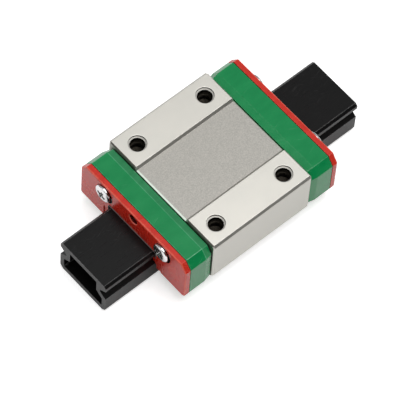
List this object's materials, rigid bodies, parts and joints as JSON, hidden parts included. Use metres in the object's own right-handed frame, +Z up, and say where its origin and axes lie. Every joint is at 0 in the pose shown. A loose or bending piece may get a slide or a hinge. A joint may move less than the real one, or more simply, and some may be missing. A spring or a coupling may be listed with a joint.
{
  "type": "linear guide carriage",
  "caption": "Miniature ball-bearing linear guide carriage with a steel block, plastic end caps, end seals and recirculating balls, parked on a short hollow transport rail.",
  "frame": {"origin": "on the transport rail's underside, below the middle of the parked carriage", "axes": "+X along the rail towards its far end, +Y to the left across the rail, +Z up out of the carriage's mounting pads"},
  "size_m": [0.0564, 0.027, 0.013],
  "materials": {
    "rail_plastic": "black extruded plastic, satin",
    "block_steel": "ground stainless steel, fine satin",
    "cap_plastic": "green moulded plastic, glossy",
    "seal_plastic": "red moulded plastic, glossy",
    "screw_steel": "bright plated steel",
    "guide_plastic": "natural moulded plastic",
    "ball_steel": "polished bearing steel",
    "wire_steel": "drawn stainless wire"
  },
  "bodies": {
    "rail": {"dummy_rail": "rail_plastic"},
    "carriage": {"steel_block": "block_steel", "front_end_cap": "cap_plastic", "rear_end_cap": "cap_plastic", "front_end_seal": "seal_plastic", "rear_end_seal": "seal_plastic", "front_left_screw": "screw_steel", "front_right_screw": "screw_steel", "rear_left_screw": "screw_steel", "rear_right_screw": "screw_steel", "front_left_return_guide": "guide_plastic", "front_right_return_guide": "guide_plastic", "rear_left_return_guide": "guide_plastic", "rear_right_return_guide": "guide_plastic", "left_retaining_wire": "wire_steel", "right_retaining_wire": "wire_steel", "left_ball_01": "ball_steel", "left_ball_02": "ball_steel", "left_ball_03": "ball_steel", "left_ball_04": "ball_steel", "left_ball_05": "ball_steel", "left_ball_06": "ball_steel", "left_ball_07": "ball_steel", "left_ball_08": "ball_steel", "left_ball_09": "ball_steel", "left_ball_10": "ball_steel", "left_ball_11": "ball_steel", "left_ball_12": "ball_steel", "left_ball_13": "ball_steel", "left_ball_14": "ball_steel", "left_ball_15": "ball_steel", "left_ball_16": "ball_steel", "left_ball_17": "ball_steel", "left_ball_18": "ball_steel", "left_ball_19": "ball_steel", "left_ball_20": "ball_steel", "left_ball_21": "ball_steel", "right_ball_01": "ball_steel", "right_ball_02": "ball_steel", "right_ball_03": "ball_steel", "right_ball_04": "ball_steel", "right_ball_05": "ball_steel", "right_ball_06": "ball_steel", "right_ball_07": "ball_steel", "right_ball_08": "ball_steel", "right_ball_09": "ball_steel", "right_ball_10": "ball_steel", "right_ball_11": "ball_steel", "right_ball_12": "ball_steel", "right_ball_13": "ball_steel", "right_ball_14": "ball_steel", "right_ball_15": "ball_steel", "right_ball_16": "ball_steel", "right_ball_17": "ball_steel", "right_ball_18": "ball_steel", "right_ball_19": "ball_steel", "right_ball_20": "ball_steel", "right_ball_21": "ball_steel"}
  },
  "joints": [
    {"name": "carriage_slide", "type": "slide", "parent": "rail", "child": "carriage", "axis": [1, 0, 0], "range_m": [-0.0107, 0.0117]}
  ]
}
